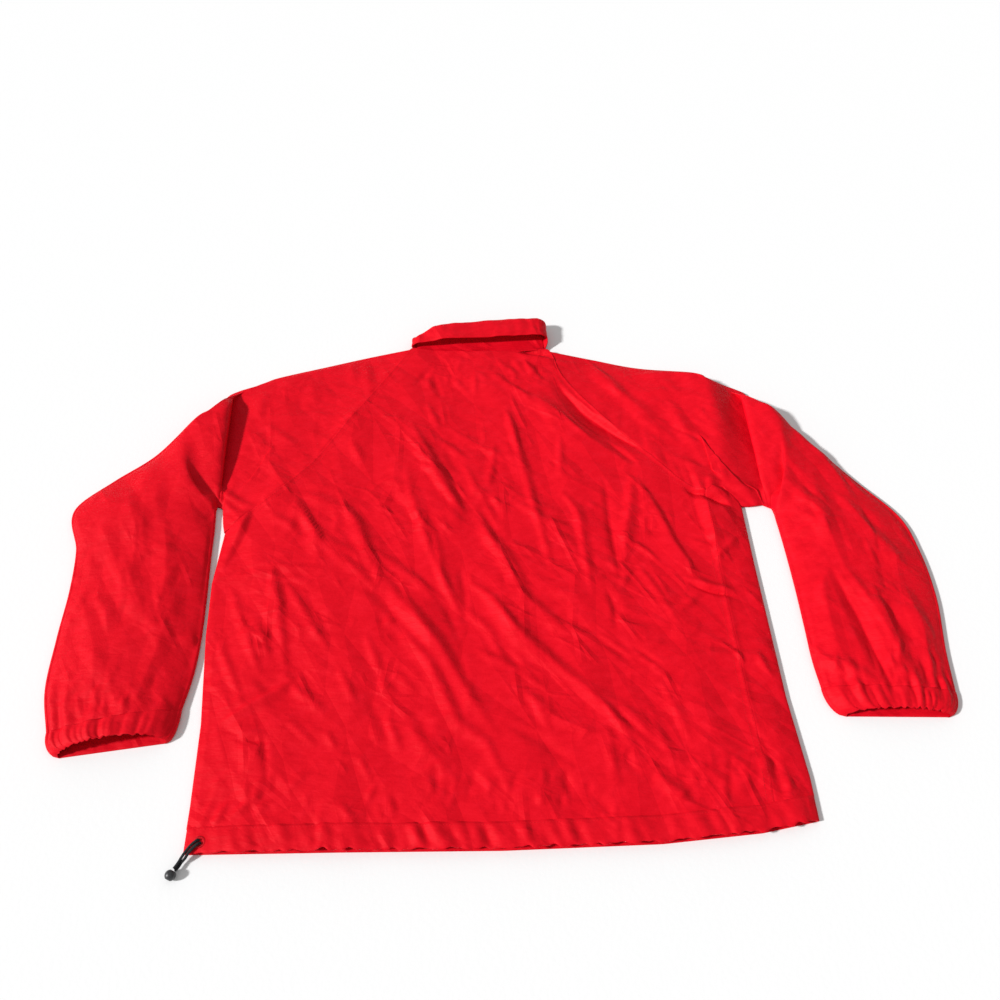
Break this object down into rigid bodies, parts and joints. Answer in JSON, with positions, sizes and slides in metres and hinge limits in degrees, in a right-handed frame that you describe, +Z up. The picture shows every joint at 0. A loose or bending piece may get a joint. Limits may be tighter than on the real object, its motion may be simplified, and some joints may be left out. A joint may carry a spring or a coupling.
{
  "type": "pullover anorak jacket laid flat",
  "caption": "Lightweight pullover anorak laid face down: raglan sleeves with elastic cuffs, turned-down collar, cord-drawn hem",
  "frame": {"origin": "on the surface the garment lies on, under the middle of the garment without its free hem cord", "axes": "+X to the wearer's right as it lies face down, +Y from the hem to the collar, +Z up off the surface"},
  "size_m": [1.0544, 0.7664, 0.0274],
  "materials": {
    "nylon": "matt crinkled nylon",
    "nylon_doubled": "matt crinkled nylon, turned and stitched",
    "thread": "satin thread",
    "zip": "moulded zip coil on woven tape",
    "cord": "braided elastic",
    "toggle_plastic": "satin moulded plastic"
  },
  "bodies": {
    "root": {"back_panel": "nylon", "front_panel": "nylon", "hem_casing": "nylon_doubled", "sleeve_left": "nylon", "cuff_left": "nylon_doubled", "sleeve_right": "nylon", "cuff_right": "nylon_doubled", "collar_stand": "nylon", "collar_fall": "nylon_doubled", "zip_tape": "zip", "zip_coil": "zip", "zip_slider": "toggle_plastic", "zip_pull_ribbon": "thread", "drawcord_eyelet": "thread", "drawcord_a": "cord", "drawcord_b": "cord", "drawcord_ball": "toggle_plastic"}
  },
  "joints": []
}
